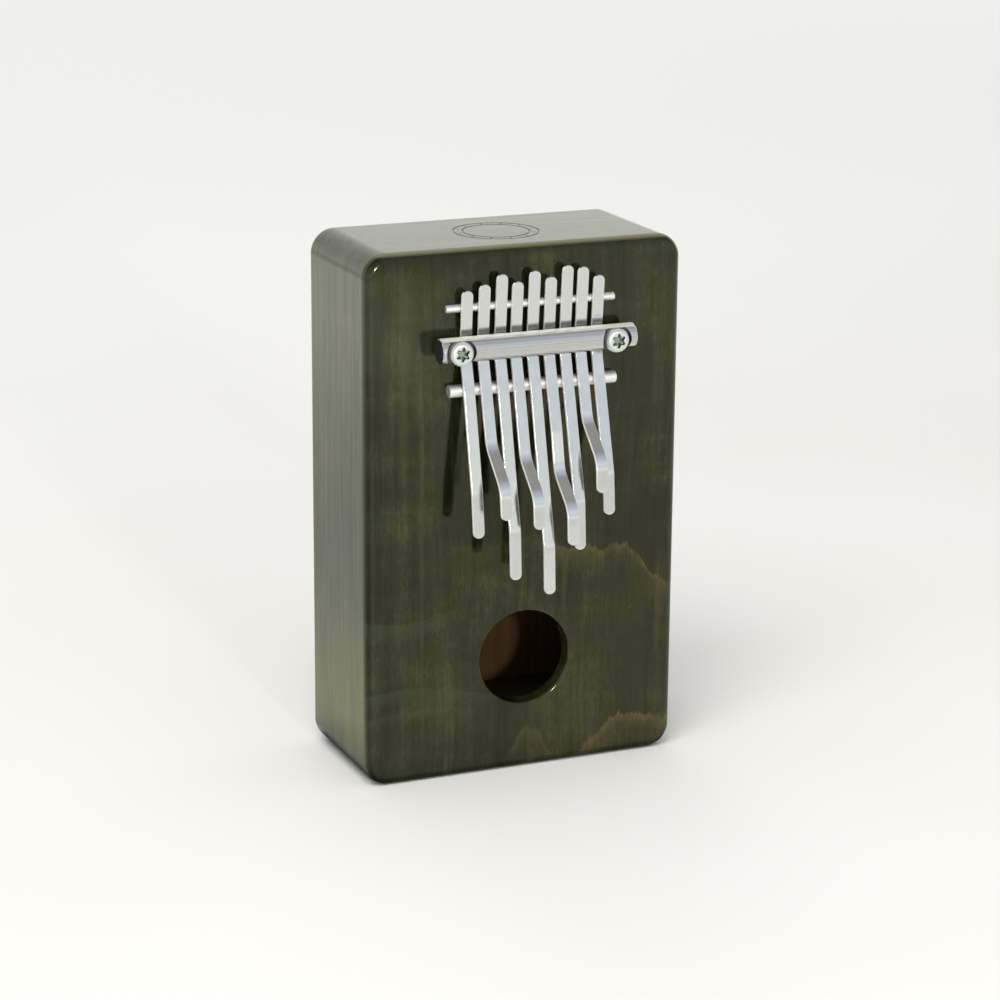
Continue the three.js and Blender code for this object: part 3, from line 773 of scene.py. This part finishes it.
board_cutters = [sound_hole_cutter()]
board_cutters += [groove_cutter(*place) for place in RODS.values()]
board_cutters += [bore(x, z, SCREW_HOLE_R, Y0 - 2, FRONT_JOINT_Y + 2, segments=40)
                  for x, _, _, z in SCREWS.values()]
cut(soundboard, board_cutters)
shade_smooth(soundboard)

# engraving in the top end: a double ring with ticks between
MARK_X, MARK_Y, MARK_Z = 0.0, -1.0, Z1 + 0.05
RING_RADII, RING_GROOVE_R = (13.5, 10.6), 0.36
TICKS, TICK_INNER, TICK_OUTER = 12, 11.5, 12.6
TICK_L = TICK_OUTER - TICK_INNER
# distance along a tick, radius of its groove
TICK_PROFILE = [(0.0, 0.0), (0.08, 0.22), (0.25, 0.30),
                (TICK_L - 0.25, 0.30), (TICK_L - 0.08, 0.22), (TICK_L, 0.0)]


def ring_cutter(ring_r, groove_r, segments=120, sides=10):
    bm = bmesh.new()
    loops = []
    for i in range(segments):
        a = 2 * math.pi * i / segments
        loop = []
        for j in range(sides):
            b = 2 * math.pi * j / sides
            r = ring_r + groove_r * math.cos(b)
            loop.append(bm.verts.new((MARK_X + r * math.cos(a), MARK_Y + r * math.sin(a),
                                      MARK_Z + groove_r * math.sin(b))))
        loops.append(loop)
    for i in range(segments):
        a, b = loops[i], loops[(i + 1) % segments]
        for j in range(sides):
            k = (j + 1) % sides
            bm.faces.new((a[j], b[j], b[k], a[k]))
    bmesh.ops.recalc_face_normals(bm, faces=bm.faces)
    return cutter(bm)


def tick_cutter(angle, sides=10):
    outward = Vector((math.cos(angle), math.sin(angle), 0))
    sideways = Vector((-math.sin(angle), math.cos(angle), 0))
    up = Vector((0, 0, 1))
    start = Vector((MARK_X + TICK_INNER * math.cos(angle), MARK_Y + TICK_INNER * math.sin(angle),
                    MARK_Z))
    turns = [2 * math.pi * j / sides for j in range(sides)]
    rings = []
    for along, radius in TICK_PROFILE:
        centre = start + outward * along
        if radius == 0:
            rings.append([tuple(centre)])
        else:
            rings.append([tuple(centre + sideways * radius * math.cos(t) + up * radius * math.sin(t))
                          for t in turns])
    return cutter(skin(rings))


mark_cutters = [ring_cutter(radius, RING_GROOVE_R) for radius in RING_RADII]
mark_cutters += [tick_cutter(2 * math.pi * i / TICKS) for i in range(TICKS)]
cut(top_end, mark_cutters)
shade_smooth(top_end)

for ob in (soundboard, back_board, left_side, right_side, top_end, bottom_end):
    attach(ob, "case")

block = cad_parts["bridge_block"]
block.data.materials.clear()
block.data.materials.append(BLOCK_WOOD)


# --------------------------------------------------------------- rods and bar
def round_bar(x_left, x_right, radius, edge, angles, core, flat_gap, side_gap):
    """Profile of a bar with rounded ends. core: radius of the ring on the end face;
    the gaps set support rings on either side of the rounding."""
    end = [(0.0, 0.0), (0.0, core), (0.0, radius - edge - flat_gap)]
    for t in map(math.radians, angles):
        end.append((edge * (1 - math.cos(t)), radius - edge + edge * math.sin(t)))
    end.append((edge + side_gap, radius))
    return [(x_left + inset, r) for inset, r in end] + [(x_right - inset, r) for inset, r in reversed(end)]


def bridge_rod(name):
    x_left, x_right, radius, y, z = RODS[name]
    edge = 0.45
    profile = round_bar(x_left, x_right, radius, edge, angles=(0, 18, 36, 54, 72, 90),
                        core=(radius - edge) * 0.5, flat_gap=0.02, side_gap=0.15)
    ob = add_object(name + "_v", lathe(profile, 72, "X", (0, y, z)), ROD_STEEL)
    shade_smooth(ob, sharp=60, weighted=False)
    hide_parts(name)
    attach(ob, "case")


SEAT_HOLE_END_Y = -25.0
SEAT_Y = SEAT_HOLE_END_Y - 8.6   # flat milled into the bar under each screw head
SEAT_R = 4.85


def clamp_bar():
    """Round bar pressing the tines, with a milled seat and a hole for each screw."""
    x_left, x_right, radius, y, z = BAR
    profile = round_bar(x_left, x_right, radius, edge=0.5, angles=(0, 22, 45, 67, 90),
                        core=1.5, flat_gap=0.05, side_gap=0.3)
    bar = add_object("clamp_bar_v", lathe(profile, 160, "X", (0, y, z)), BAR_STEEL)
    cutters = []
    for screw_x, _, _, screw_z in SCREWS.values():
        cutters.append(bore(screw_x, screw_z, SEAT_R, SEAT_Y, SEAT_Y - 6, segments=128))
        cutters.append(bore(screw_x, screw_z, SCREW_HOLE_R, SEAT_Y - 3, SEAT_HOLE_END_Y, segments=64))
    cut(bar, cutters)
    # painted shade on the seats under the screw heads and on their walls
    bar.data.materials.append(SEAT_PAINTED_SHADE)
    # the end faces take the painted dark reflection
    bar.data.materials.append(END_FACE_PAINTED_REFLECTION)
    for face in bar.data.polygons:
        c = face.center / MM
        for screw_x, _, _, screw_z in SCREWS.values():
            if abs(face.normal.x) > 0.9 and (c.x < x_left + 0.6 or c.x > x_right - 0.6):
                face.material_index = 2
            off_axis = math.hypot(c.x - screw_x, c.z - screw_z)
            on_seat = abs(c.y - SEAT_Y) < 0.02 and off_axis < SEAT_R
            on_wall = abs(off_axis - SEAT_R) < 0.06 and abs(face.normal.y) < 0.3 and c.y < SEAT_Y
            if on_seat or on_wall:
                face.material_index = 1
    shade_smooth(bar, sharp=30)
    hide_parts("clamp_bar")
    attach(bar, "clamp")


bridge_rod("front_rod")
bridge_rod("rear_rod")
clamp_bar()

# ---------------------------------------------------------------------- screws
PITCH = 1.8
HEAD_H, HEAD_R, HEAD_ROUND = 2.55, 3.8, 1.15
SHANK_R, CORE_R, CREST_R = 1.45, 1.33, 1.96
PLAIN_L, POINT_L = 10.8, 4.0     # unthreaded length under the head, length of the point
CREST_HALF = 0.28                # half width of a thread ridge, in pitches
SOCKET_R, SOCKET_LOBE = 1.92, 0.38


def head_profile(y_head, seat):
    """From the centre of the top outwards, round the edge and in under the head."""
    profile = [(y_head, 0.0), (y_head, 1.0), (y_head + 0.01, 1.6), (y_head + 0.03, 2.3)]
    for t in map(math.radians, (*range(4, 85, 10), 90)):
        profile.append((y_head + 0.04 + HEAD_ROUND * (1 - math.cos(t)),
                        HEAD_R - HEAD_ROUND + HEAD_ROUND * math.sin(t)))
    return profile + [
        (seat - 0.50, HEAD_R), (seat - 0.14, HEAD_R), (seat - 0.04, HEAD_R - 0.04),
        (seat, HEAD_R - 0.14), (seat, HEAD_R - 0.3),
        (seat, 1.8), (seat, 1.52), (seat + 0.08, SHANK_R),
    ]


def shank_rings(x, z, seat, y_tip, segments):
    """Plain shank, thread and pointed tip."""
    thread_y, point_y = seat + PLAIN_L, y_tip - POINT_L
    rings = []
    y = seat + 0.3
    while y < y_tip - 0.05:
        grow = min(1.0, max(0.0, (y - thread_y) / 0.9))
        taper = 1.0 if y <= point_y else max(0.06, (y_tip - y) / POINT_L)
        core = SHANK_R if y < thread_y - 0.3 else CORE_R
        ring = []
        for i in range(segments):
            turn = 2 * math.pi * i / segments
            phase = ((y - thread_y) / PITCH + turn / (2 * math.pi)) % 1.0
            ridge = max(0.0, 1 - abs(phase - 0.5) / CREST_HALF)
            r = (core + grow * ridge * (CREST_R - core)) * taper
            ring.append((x + r * math.cos(turn), y, z + r * math.sin(turn)))
        rings.append(ring)
        y += PITCH / 12 if y > thread_y - 0.4 else 1.2
    rings.append([(x, y_tip, z)])
    return rings


def socket_cutter(x, z, y_head, turn):
    """Six-lobe socket, narrowing at its floor."""
    rings = []
    for y, size in ((y_head - 1.0, 1.03), (y_head + 1.10, 1.0), (y_head + 1.25, 0.50)):
        ring = []
        for i in range(120):
            a = 2 * math.pi * i / 120
            r = SOCKET_R + SOCKET_LOBE * math.cos(6 * (a + turn) + math.pi)
            ring.append((x + size * r * math.cos(a), y, z + size * r * math.sin(a)))
        rings.append(ring)
    return cutter(skin(rings))


def screw(name, turn):
    x, y_head, y_tip, z = SCREWS[name]
    segments = 96
    seat = y_head + HEAD_H
    rings = turned_rings(head_profile(y_head, seat), segments, "Y", (x, 0, z))
    rings += shank_rings(x, z, seat, y_tip, segments)
    ob = add_object(name + "_v", skin(rings), SCREW_ZINC)
    cut(ob, [socket_cutter(x, z, y_head, turn)])
    # painted shade: the socket's walls and floor take the dark socket materials
    ob.data.materials.append(SOCKET_WALL_PAINTED_SHADE)
    ob.data.materials.append(SOCKET_FLOOR_PAINTED_SHADE)
    for face in ob.data.polygons:
        c = face.center / MM
        if math.hypot(c.x - x, c.z - z) < 2.35 and y_head + 0.05 < c.y < y_head + 1.27:
            face.material_index = 2 if abs(face.normal.y) > 0.98 else 1
    shade_smooth(ob, sharp=32)
    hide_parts(name)
    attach(ob, name)


screw("screw_left", turn=math.radians(5))
screw("screw_right", turn=0.0)

# ----------------------------------------------------------------------- tines
TINE_W, TINE_T = 3.6, 1.0
TINE_EDGE_R = 0.13
END_BEVEL_L, END_BEVEL_T = 0.75, 0.36   # thinning of the ends: length, and depth per face
STEP = 0.75
END_ANGLES = (3, 8, 14, 21, 29, 38, 47, 56, 65, 74, 83, 90)   # stations round each end
ROD_Z, BAR_Z, REAR_Z = RODS["front_rod"][4], BAR[4], RODS["rear_rod"][4]
# heights of the tine in front of the soundboard
ROD_HEIGHT, BAR_HEIGHT, REAR_HEIGHT = 4.65, 1.58, 2.62

# Rise of each tongue per millimetre below the front rod, then its (z, height) points
# from below the rod down to the tip, tines from left to right.
TINES = [
    (0.218, [(96.0, 11.40), (82.2, 13.10)]),
    (0.266, [(109.8, 9.10), (99.2, 20.10), (89.5, 21.40)]),
    (0.233, [(83.3, 14.70), (68.3, 15.70)]),
    (0.250, [(105.3, 9.95), (95.3, 20.70), (85.5, 21.50)]),
    (0.2405, [(77.8, 16.35), (62.9, 17.20)]),
    (0.2607, [(112.5, 8.50), (100.0, 11.05), (90.7, 21.70), (79.5, 22.30)]),
    (0.270, [(90.8, 14.30), (75.6, 15.40)]),
    (0.274, [(115.0, 7.80), (104.3, 19.10), (94.5, 19.70)]),
    (0.274, [(98.4, 12.35), (85.3, 13.55)]),
]


def hermite(z0, h0, slope0, z1, h1, slope1, n):
    """Cubic (z, height) curve between two points with given slopes."""
    points = []
    span = z1 - z0
    for i in range(n + 1):
        t = i / n
        points.append((z0 + span * t,
                       (2 * t**3 - 3 * t**2 + 1) * h0 + (t**3 - 2 * t**2 + t) * span * slope0
                       + (-2 * t**3 + 3 * t**2) * h1 + (t**3 - t**2) * span * slope1))
    return points


def filleted(points, radius, n):
    """Polyline with its corners rounded."""
    out = [points[0]]
    for before, corner, after in zip(points, points[1:], points[2:]):
        p, q, s = Vector(before), Vector(corner), Vector(after)
        u, v = (p - q).normalized(), (s - q).normalized()
        turn = math.pi - math.acos(max(-1, min(1, u.dot(v))))
        if turn < 0.004:
            out.append(tuple(q))
            continue
        reach = radius * math.tan(turn / 2) if turn > 0.06 else 1.2
        reach = min(reach, 0.45 * (p - q).length, 0.45 * (s - q).length)
        a, b = q + u * reach, q + v * reach
        for j in range(n + 1):
            t = j / n
            out.append(tuple(a * (1 - t) ** 2 + q * 2 * t * (1 - t) + b * t * t))
    out.append(points[-1])
    return out


def running_length(points):
    total = [0.0]
    for a, b in zip(points, points[1:]):
        total.append(total[-1] + (b - a).length)
    return total


def resample(line, step):
    """Evenly spaced points along a polyline, and its length."""
    points = [Vector(p) for p in line]
    run = running_length(points)
    n = max(2, int(round(run[-1] / step)))
    out, j = [], 0
    for i in range(n + 1):
        s = run[-1] * i / n
        while j < len(run) - 2 and run[j + 1] < s:
            j += 1
        t = (s - run[j]) / max(1e-9, run[j + 1] - run[j])
        out.append(points[j].lerp(points[j + 1], t))
    return out, run[-1]


def section(half_w, thick, corner_r):
    """Rounded-rectangle ring (across, through) with support points beside each corner."""
    r = min(corner_r, half_w * 0.9, thick / 2 * 0.95)
    flat = min(0.06, max(0.001, (half_w - r) * 0.3))
    side = min(0.05, max(0.001, (thick / 2 - r) * 0.3))
    cx, cy = half_w - r, thick / 2 - r
    points = []
    # corner centre, start angle, offsets of the support points before and after the arc
    for x, y, start, before, after in ((cx, cy, 0, (0, -side), (-flat, 0)),
                                       (-cx, cy, 90, (flat, 0), (0, -side)),
                                       (-cx, -cy, 180, (0, side), (flat, 0)),
                                       (cx, -cy, 270, (-flat, 0), (0, side))):
        corner = arc(x, y, r, start, steps=4)
        first, last = corner[0], corner[-1]
        points.append((first[0] + before[0], first[1] + before[1]))
        points += corner
        points.append((last[0] + after[0], last[1] + after[1]))
    return points


def tine_line(z_rear, slope, path, fillet_r):
    """(z, height) line of a tine from its rear end over the rods to its tip."""
    tail = hermite(ROD_Z, ROD_HEIGHT, -slope, BAR_Z, BAR_HEIGHT, 0.0, n=14)
    tail += hermite(BAR_Z, BAR_HEIGHT, 0.12, REAR_Z, REAR_HEIGHT, 0.07, n=12)[1:]
    tail.append((z_rear, REAR_HEIGHT + 0.08 * (z_rear - REAR_Z)))
    lead = [(ROD_Z + 1.0, ROD_HEIGHT - slope), (ROD_Z, ROD_HEIGHT)]
    tongue = filleted(lead + path, fillet_r, n=12)[2:]
    return list(reversed(tail)) + tongue


def tine(index, slope, path):
    name = f"tine_{index + 1}"
    lo, hi = box_mm(name + "_tail")
    x = (lo[0] + hi[0]) / 2
    fillet_r = 4.2 if index % 2 == 0 else 9.0
    line, length = resample(tine_line(hi[2], slope, path, fillet_r), STEP)
    run = np.array(running_length(line))
    run = run * (length / run[-1])
    line_z = np.array([p[0] for p in line])
    line_height = np.array([p[1] for p in line])

    def at(s):
        return float(np.interp(s, run, line_z)), float(np.interp(s, run, line_height))

    # stations are closer at the ends, for the rounded plan shape
    end_r = TINE_W / 2
    ends = [end_r * (1 - math.cos(math.radians(a))) for a in END_ANGLES]
    stations = ends + list(np.arange(end_r + 0.4, length - end_r - 0.4, STEP))
    stations += [length - s for s in reversed(ends)]
    outward = Vector((0, -1, 0))
    rings = []
    for s in stations:
        z, height = at(s)
        z1, height1 = at(min(length, s + 0.35))
        z0, height0 = at(max(0, s - 0.35))
        direction = Vector((0, -(height1 - height0), z1 - z0)).normalized()
        normal = outward - direction * direction.dot(outward)
        normal.normalize()
        edge = min(s, length - s)
        half_w = end_r
        if edge < end_r:
            half_w = math.sqrt(max(1e-6, end_r * end_r - (end_r - edge) ** 2))
        thick = TINE_T
        if edge < END_BEVEL_L:
            bevel = 1 - math.sqrt(max(0.0, 1 - (1 - edge / END_BEVEL_L) ** 2))
            thick = TINE_T - 2 * END_BEVEL_T * bevel
        centre = Vector((x, Y0 - height, z))
        rings.append([tuple(centre + Vector((1, 0, 0)) * a + normal * b)
                      for a, b in section(half_w, thick, TINE_EDGE_R)])
    ob = add_object(name, skin(rings), TINE_STEEL)
    shade_smooth(ob, sharp=70, weighted=False)
    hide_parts(name + "_tail", name + "_tongue")
    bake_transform(ob)


for i, (slope, path) in enumerate(TINES):
    tine(i, slope, path)

# ---------------------------------------------------------------- surroundings
BACKDROP = (0.87, 0.87, 0.862)
FLOOR_HALF = 9000

# What glossy surfaces mirror from the table. Direction in degrees about Z,
# 0 toward the front and 90 toward +X, then the colour.
TABLE = [
    (-180, (0.90, 0.90, 0.86)), (-162, (0.88, 0.89, 0.79)), (-141, (1.09, 1.10, 0.94)),
    (-123, (1.18, 1.22, 1.12)), (-105, (0.98, 1.02, 1.18)), (-87, (0.63, 0.66, 0.75)),
    (-70, (0.47, 0.47, 0.54)), (-51, (0.47, 0.47, 0.53)), (-33, (0.64, 0.63, 0.65)),
    (-15, (0.88, 0.87, 0.87)), (3, (0.92, 0.92, 0.86)), (23, (0.74, 0.73, 0.69)),
    (60, (0.80, 0.80, 0.76)), (110, (0.86, 0.86, 0.82)), (180, (0.90, 0.90, 0.86)),
]

# Mirrored sky. Angle in degrees from the front horizon up over the top to the back
# horizon, then the colour.
SKY = [
    (-11.5, (0.62, 0.62, 0.60)), (-8, (0.64, 0.645, 0.63)), (-3, (0.69, 0.69, 0.67)),
    (1, (0.74, 0.75, 0.735)), (4, (0.80, 0.83, 0.78)), (7, (0.86, 0.88, 0.82)),
    (9.2, (0.69, 0.72, 0.68)), (11, (0.62, 0.665, 0.68)), (14, (0.62, 0.67, 0.685)),
    (16, (0.57, 0.61, 0.66)), (20, (0.70, 0.745, 0.77)), (33, (0.62, 0.66, 0.72)),
    (43, (0.505, 0.535, 0.575)), (54, (0.45, 0.455, 0.53)), (64, (0.38, 0.38, 0.45)),
    (72, (0.29, 0.29, 0.27)), (82, (0.29, 0.29, 0.27)), (88, (0.37, 0.37, 0.34)),
    (94, (0.62, 0.61, 0.56)), (101, (1.00, 1.00, 0.90)), (110, (1.34, 1.33, 1.20)),
    (122, (1.34, 1.33, 1.20)), (136, (1.10, 1.10, 1.01)), (150, (1.08, 1.08, 1.02)),
    (166, (1.16, 1.17, 1.10)), (174, (1.24, 1.25, 1.17)), (180, (1.32, 1.33, 1.25)),
]
SKY_LIFT, SKY_REACH = 0.20, 0.925   # the sky's angle is measured from this far below centre


def table_light(nodes, x, y, z):
    """Mirrored table by direction, with its brightness changing toward its far edge."""
    rise, mul = nodes.rise, nodes.mul
    heading = nodes.math("ARCTAN2", x, mul(y, -1.0))
    turn = nodes.math("DIVIDE", nodes.add(heading, math.pi), 2 * math.pi)
    colour = nodes.bright_ramp(turn, [((angle + 180) / 360, c) for angle, c in TABLE])
    gain = nodes.add(1.0, mul(rise(z, -0.27, -0.205), 0.45))
    back = rise(y, -0.3, 0.3)
    far_edge = rise(nodes.sub(z, mul(back, 0.024)), -0.225, -0.19)
    dimming = mul(far_edge, nodes.sub(0.415, mul(back, 0.185)))
    gain = mul(gain, nodes.invert(dimming))
    gain = mul(gain, nodes.add(1.0, mul(rise(z, -0.15, -0.03), 0.05)))
    return nodes.scale(colour, gain)


def floor_material():
    material, nodes, bsdf, mm = new_material("floor_pale")
    rise, mul = nodes.rise, nodes.mul
    soft = nodes.stretched_noise(mm, (0.004, 0.004, 0.004), detail=2)
    pale = nodes.ramp(soft, [(0.3, (0.835, 0.828, 0.805)), (0.7, (0.865, 0.860, 0.845))])
    # painted light: the floor is paler further behind the box
    painted_light_behind = rise(nodes.split(mm)[1], 100.0, 900.0)
    nodes.put(bsdf.inputs["Base Color"], nodes.mix(painted_light_behind, pale, (0.965, 0.965, 0.955)))
    nodes.put(bsdf.inputs["Roughness"], 0.9)
    nodes.put(bsdf.inputs["Specular IOR Level"], 0.1)

    # seen in a mirror the floor has the table light, shaded where the box stands close
    incoming = nodes.new("ShaderNodeNewGeometry").outputs["Incoming"]
    ray = nodes.split(nodes.scale(incoming, -1.0))
    x, y, _ = nodes.split(mm)

    def beyond(value, half_size):
        return nodes.math("MAXIMUM", nodes.sub(nodes.math("ABSOLUTE", value), half_size), 0.0)

    away = nodes.length(beyond(x, 51.0), beyond(y, 23.0))
    shade = nodes.add(mul(rise(away, 0.0, 9.0), 0.60), mul(rise(away, 0.0, 30.0), 0.30))
    glow_strength = 1.0   # warm glow on the floor to the left of the box
    glow = mul(rise(mul(x, -1.0), 55.0, 75.0), nodes.fall(away, 45.0, 170.0), glow_strength)
    warm = nodes.mix(glow, (1.0, 1.0, 1.0), (1.26, 1.24, 1.0))
    mirrored = nodes.new("ShaderNodeEmission")
    light = nodes.vmath("MULTIPLY", table_light(nodes, *ray), warm)
    nodes.put(mirrored.inputs[0], nodes.scale(light, nodes.add(shade, 0.10)))

    # far off the floor fades into the backdrop, so no horizon line shows
    paths = nodes.new("ShaderNodeLightPath")
    far = nodes.new("ShaderNodeEmission")
    nodes.put(far.inputs[0], BACKDROP)
    fade = mul(rise(nodes.length(x, y), 500.0, 2600.0), paths.outputs["Is Camera Ray"])
    seen = nodes.mix_shader(fade, bsdf.outputs[0], far.outputs[0])
    surface = nodes.mix_shader(paths.outputs["Is Glossy Ray"], seen, mirrored.outputs[0])
    nodes.put(nodes.surface, surface)
    return material


def add_floor():
    bm = bmesh.new()
    corners = [(sx * FLOOR_HALF, sy * FLOOR_HALF, 0) for sx, sy in ((-1, -1), (1, -1), (1, 1), (-1, 1))]
    bm.faces.new([bm.verts.new(p) for p in corners])
    add_object("floor", bm, floor_material())


def sky_stops():
    stops = []
    for angle, colour in SKY:
        a = math.radians(angle)
        seen = math.degrees(math.atan2(SKY_REACH * math.sin(a) + SKY_LIFT, SKY_REACH * math.cos(a)))
        stops.append((max(0.0, min(1.0, seen / 180)), colour))
    return stops


def add_world():
    """Soft dome for diffuse light, table and sky for mirror rays, a pale sheet for the camera."""
    world = bpy.data.worlds.new("studio")
    scene.world = world
    world.use_nodes = True
    world.node_tree.nodes.clear()
    nodes = Nodes(world.node_tree)
    x, y, z = nodes.split(nodes.new("ShaderNodeTexCoord").outputs["Generated"])
    angle = nodes.math("ARCTAN2", nodes.add(z, SKY_LIFT), nodes.mul(y, -1.0))
    sky = nodes.bright_ramp(nodes.math("DIVIDE", angle, math.pi), sky_stops())
    table = table_light(nodes, x, y, z)
    # the table's edge lies a little higher toward the back
    edge = nodes.sub(z, nodes.mul(nodes.rise(y, -0.3, 0.3), 0.022))
    mirrored = nodes.mix(nodes.rise(edge, -0.225, -0.195), table, sky)
    paths = nodes.new("ShaderNodeLightPath")
    dome = nodes.mix(nodes.rise(z, -0.2, 1.0), (0.56, 0.555, 0.54), (0.62, 0.62, 0.615))
    lit = nodes.mix(paths.outputs["Is Glossy Ray"], dome, mirrored)
    background = nodes.new("ShaderNodeBackground")
    nodes.put(background.inputs[0], nodes.mix(paths.outputs["Is Camera Ray"], lit, BACKDROP))
    nodes.put(background.inputs[1], 1.0)
    output = nodes.new("ShaderNodeOutputWorld")
    nodes.put(output.inputs[0], background.outputs[0])


def area(name, location, target, size, power, colour, glossy=True):
    """Disk light aimed at a target, in metres and watts."""
    data = bpy.data.lights.new(name, "AREA")
    data.energy = power
    data.color = colour
    data.shape = "DISK"
    data.size = size
    ob = bpy.data.objects.new(name, data)
    scene.collection.objects.link(ob)
    ob.location = location
    ob.rotation_mode = "QUATERNION"
    ob.rotation_quaternion = (Vector(target) - Vector(location)).to_track_quat("-Z", "Y")
    ob.visible_camera = False
    ob.visible_glossy = glossy


def add_camera():
    data = bpy.data.cameras.new("camera")
    data.sensor_width = 36.0
    data.lens = 108.93
    data.clip_start = 0.05
    data.clip_end = 60
    camera = bpy.data.objects.new("camera", data)
    scene.collection.objects.link(camera)
    right = Vector((0.91911029, -0.3939353, 0.00715901))
    up = Vector((0.10088441, 0.25286511, 0.9622274))
    look = Vector((0.38086561, 0.88367088, -0.27215285))
    location = Vector((-0.36728, -0.85795, 0.34628))
    rows = [tuple(row) for row in zip(right, up, -look, location)]
    camera.matrix_world = Matrix((*rows, (0, 0, 0, 1)))
    scene.camera = camera


add_floor()
add_world()
area("key", location=(-0.085, -1.75, 0.385), target=(0, 0, 0.08), size=0.15, power=8.5,
     colour=(1.0, 0.985, 0.955))
area("overhead", location=(-0.75, -0.85, 1.6), target=(-0.1, -0.25, 0.0), size=1.2, power=21.0,
     colour=(1.0, 0.985, 0.96), glossy=False)
area("backdrop", location=(0.35, 2.3, 1.9), target=(0.3, 1.3, 0.0), size=1.6, power=10.0,
     colour=(1.0, 1.0, 0.985), glossy=False)
add_camera()
scene.view_settings.view_transform = "Standard"
scene.view_settings.look = "None"
